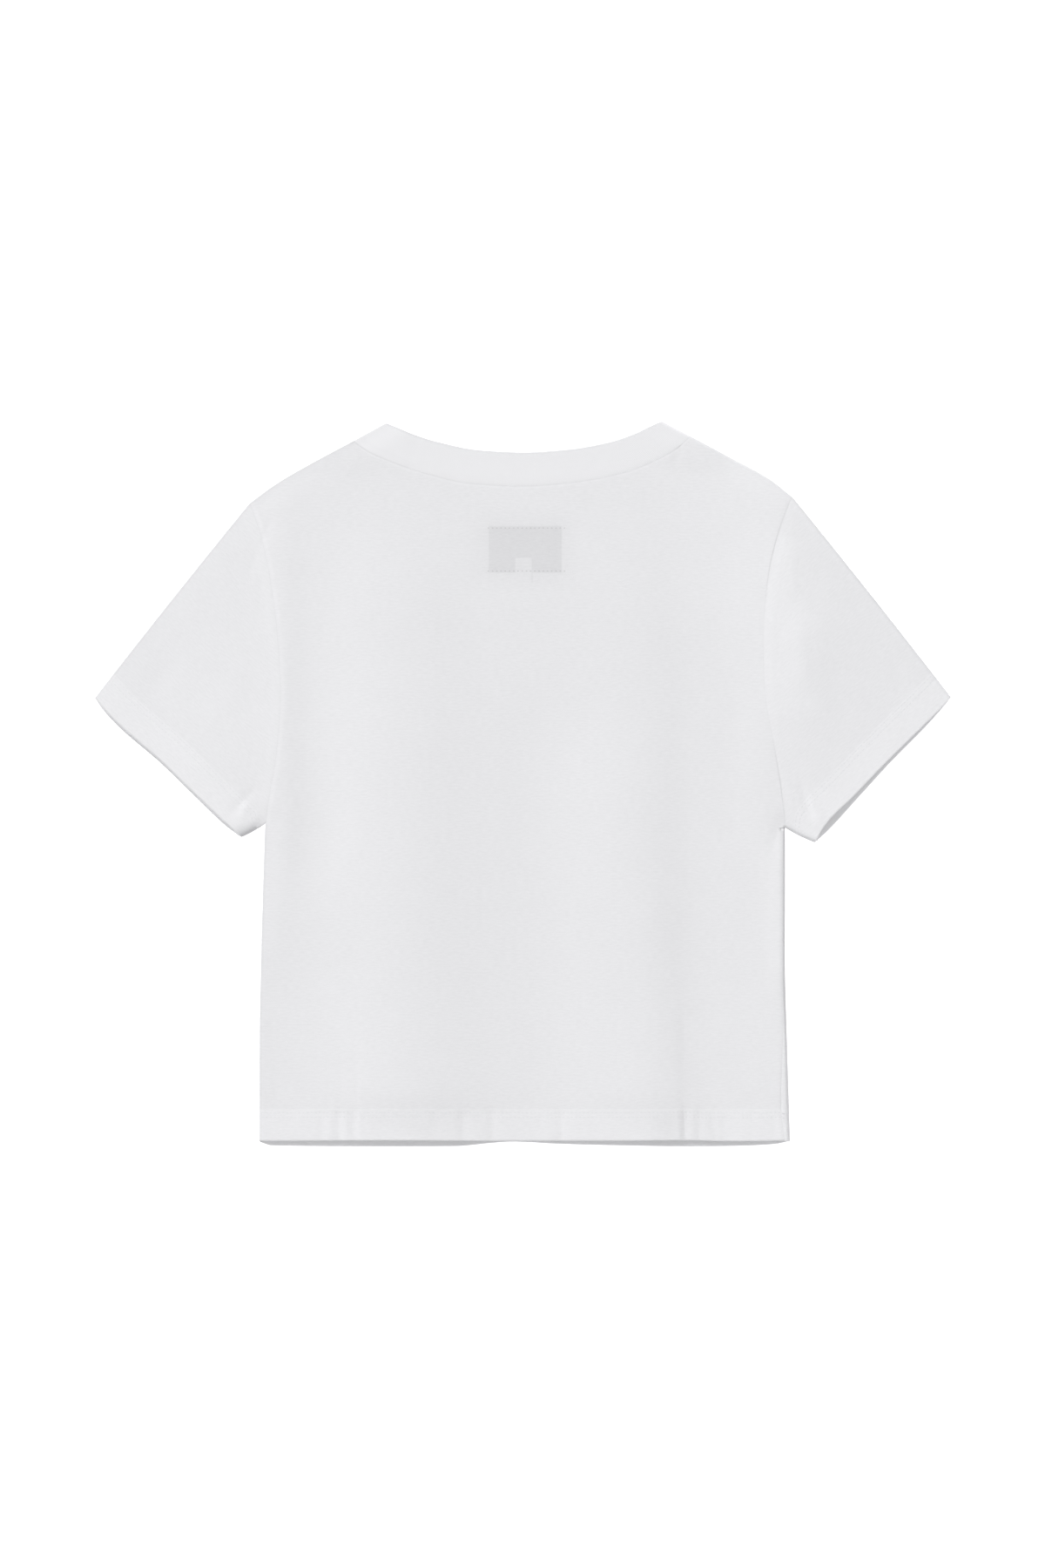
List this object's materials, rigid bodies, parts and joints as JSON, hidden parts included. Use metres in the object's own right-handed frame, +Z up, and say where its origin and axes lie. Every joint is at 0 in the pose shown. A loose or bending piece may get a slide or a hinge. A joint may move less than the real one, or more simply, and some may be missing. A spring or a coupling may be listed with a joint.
{
  "type": "crop top",
  "caption": "Short-sleeved cropped crew-neck top in plain jersey, lying flat with its back panel up.",
  "frame": {"origin": "middle of the bounding box in plan, on the surface that the top lies on", "axes": "+Z up from the surface through front then back panel, +Y from hem to neck, +X to the right sleeve as seen from above"},
  "size_m": [0.6122, 0.5187, 0.0062],
  "materials": {
    "jersey": "matt white cotton single jersey with a fine slub",
    "rib": "matt white fine rib, folded double",
    "label": "plain grey woven label",
    "tab": "plain white woven tab"
  },
  "bodies": {
    "root": {"back": "jersey", "front": "jersey", "sleeve_left": "jersey", "sleeve_right": "jersey", "neck_band": "rib", "neck_label": "label", "size_tag": "tab"}
  },
  "joints": []
}
